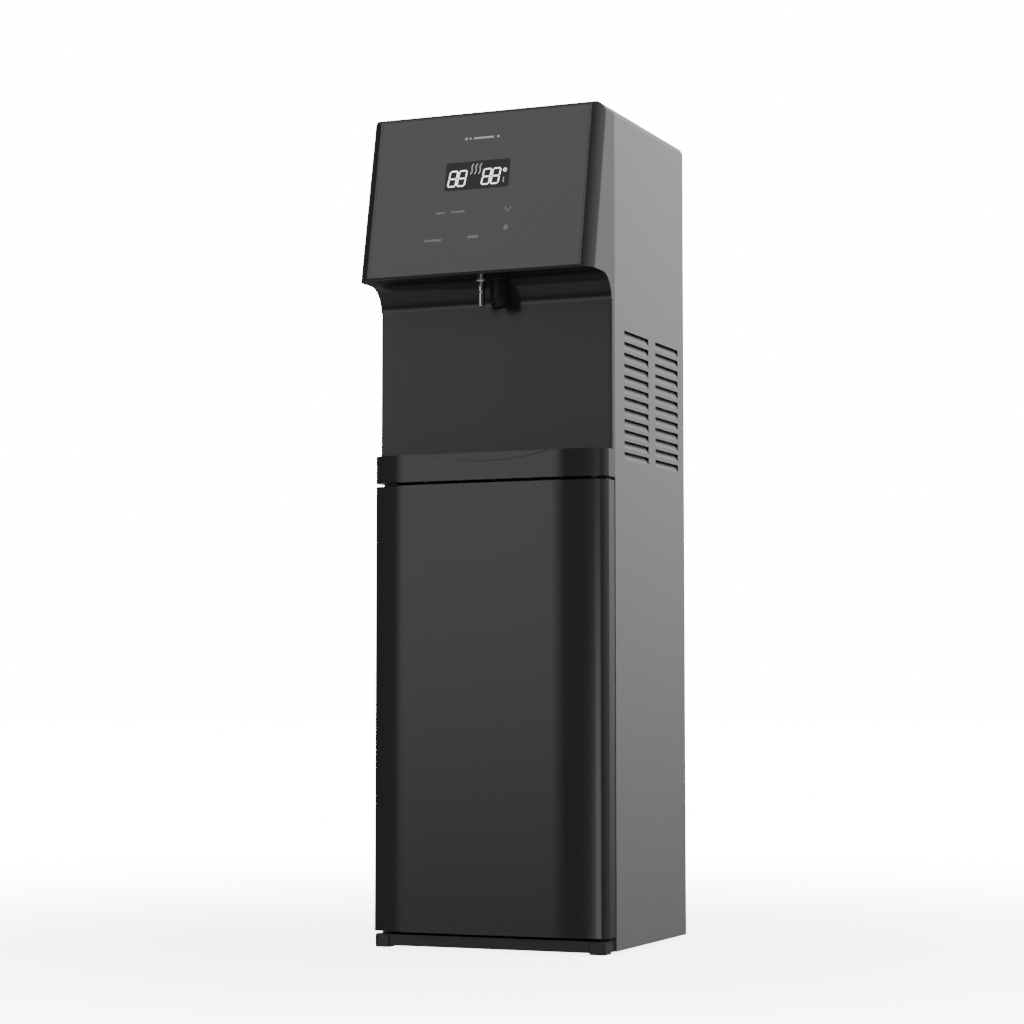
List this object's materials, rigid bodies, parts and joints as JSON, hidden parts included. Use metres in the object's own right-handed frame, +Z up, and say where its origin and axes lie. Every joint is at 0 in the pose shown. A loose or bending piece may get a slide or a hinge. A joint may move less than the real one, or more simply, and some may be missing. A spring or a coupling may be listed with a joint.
{
  "type": "bottom-load water dispenser",
  "caption": "Tall floor-standing hot and cold water dispenser with a leaning touch-glass head, drip shelf, side louvres and a full-height bottle door below.",
  "frame": {"origin": "on the floor, at the bottom centre of the bounding box", "axes": "+Z up, +X to the viewer's right, -Y out of the front"},
  "size_m": [0.313, 0.3594, 1.04],
  "materials": {
    "side_paint": "satin grey powder coat",
    "gloss_front": "polished dark grey moulding",
    "satin_front": "smooth dark grey moulding",
    "control_glass": "black back-printed glass",
    "black_plastic": "fine texture",
    "liner_plastic": "light grey, fine texture",
    "zinc_sheet": "zinc-plated sheet",
    "black_steel": "black enamel",
    "chrome": "polished",
    "stainless": "brushed",
    "copper_pipe": "drawn copper",
    "rubber_black": "matt",
    "foam": "closed-cell foam",
    "silicone_hose": "milky silicone",
    "circuit_board": "green solder mask",
    "red_key": "moulded red",
    "blue_key": "moulded blue",
    "white_plastic": "moulded white"
  },
  "bodies": {
    "cabinet": {"right_side_panel": "side_paint", "left_side_panel": "side_paint", "top_cover": "black_plastic", "back_panel": "zinc_sheet", "base_pan": "zinc_sheet", "base_plinth": "satin_front", "front_feet": "rubber_black", "rear_feet": "rubber_black", "bay_right_liner": "liner_plastic", "bay_left_liner": "liner_plastic", "bay_back_liner": "liner_plastic", "bottle_mat": "rubber_black", "mid_deck": "zinc_sheet", "tank_shelf": "zinc_sheet", "head_housing": "gloss_front", "control_glass": "control_glass", "display_board": "circuit_board", "wall_panel": "satin_front", "shelf_fascia": "gloss_front", "cold_spout": "chrome", "hot_spout": "black_plastic", "catch_plate": "zinc_sheet", "hinge_brackets": "black_steel", "hinge_pins": "chrome", "cold_tank": "stainless", "evaporator_coil": "copper_pipe", "cold_tank_foam": "foam", "hot_tank": "stainless", "heater_band": "stainless", "hot_tank_jacket": "foam", "compressor": "black_steel", "compressor_mounts": "rubber_black", "start_relay": "black_plastic", "filter_dryer": "copper_pipe", "water_pump": "black_plastic", "suction_hose": "silicone_hose", "feed_hose": "silicone_hose", "cold_hose": "silicone_hose", "hot_hose": "silicone_hose", "dispense_valves": "white_plastic", "suction_probe": "white_plastic", "probe_clip": "liner_plastic", "condenser_tube": "black_steel", "condenser_wires": "black_steel", "condenser_brackets": "black_steel", "switch_plate": "black_plastic", "power_board": "circuit_board", "cord_gland": "black_plastic", "drain_spigot": "white_plastic"},
    "door": {"door_skin": "gloss_front", "door_liner": "liner_plastic", "door_gasket": "rubber_black", "door_bushes": "white_plastic", "door_magnet": "rubber_black"},
    "tray": {"drip_tray": "gloss_front"},
    "grille": {"drip_grille": "black_plastic"},
    "hot_key": {"hot_switch": "red_key"},
    "cold_key": {"cold_switch": "blue_key"},
    "plug": {"drain_plug": "rubber_black"}
  },
  "joints": [
    {"name": "door_hinge", "type": "hinge", "parent": "cabinet", "child": "door", "pos_m": [0.1505, -0.10833, 0.3], "axis": [0, 0, 1], "range_deg": [0, 105]},
    {"name": "tray_lift", "type": "slide", "parent": "cabinet", "child": "tray", "axis": [0, 0, 1], "range_m": [0, 0.08]},
    {"name": "grille_lift", "type": "slide", "parent": "tray", "child": "grille", "axis": [0, 0, 1], "range_m": [0, 0.03]},
    {"name": "hot_rocker", "type": "hinge", "parent": "cabinet", "child": "hot_key", "pos_m": [-0.045, 0.15857, 1], "axis": [1, 0, 0], "range_deg": [0, 16]},
    {"name": "cold_rocker", "type": "hinge", "parent": "cabinet", "child": "cold_key", "pos_m": [-0.017, 0.15857, 1], "axis": [1, 0, 0], "range_deg": [0, 16]},
    {"name": "plug_pull", "type": "slide", "parent": "cabinet", "child": "plug", "axis": [0, 1, 0], "range_m": [0, 0.012]}
  ]
}
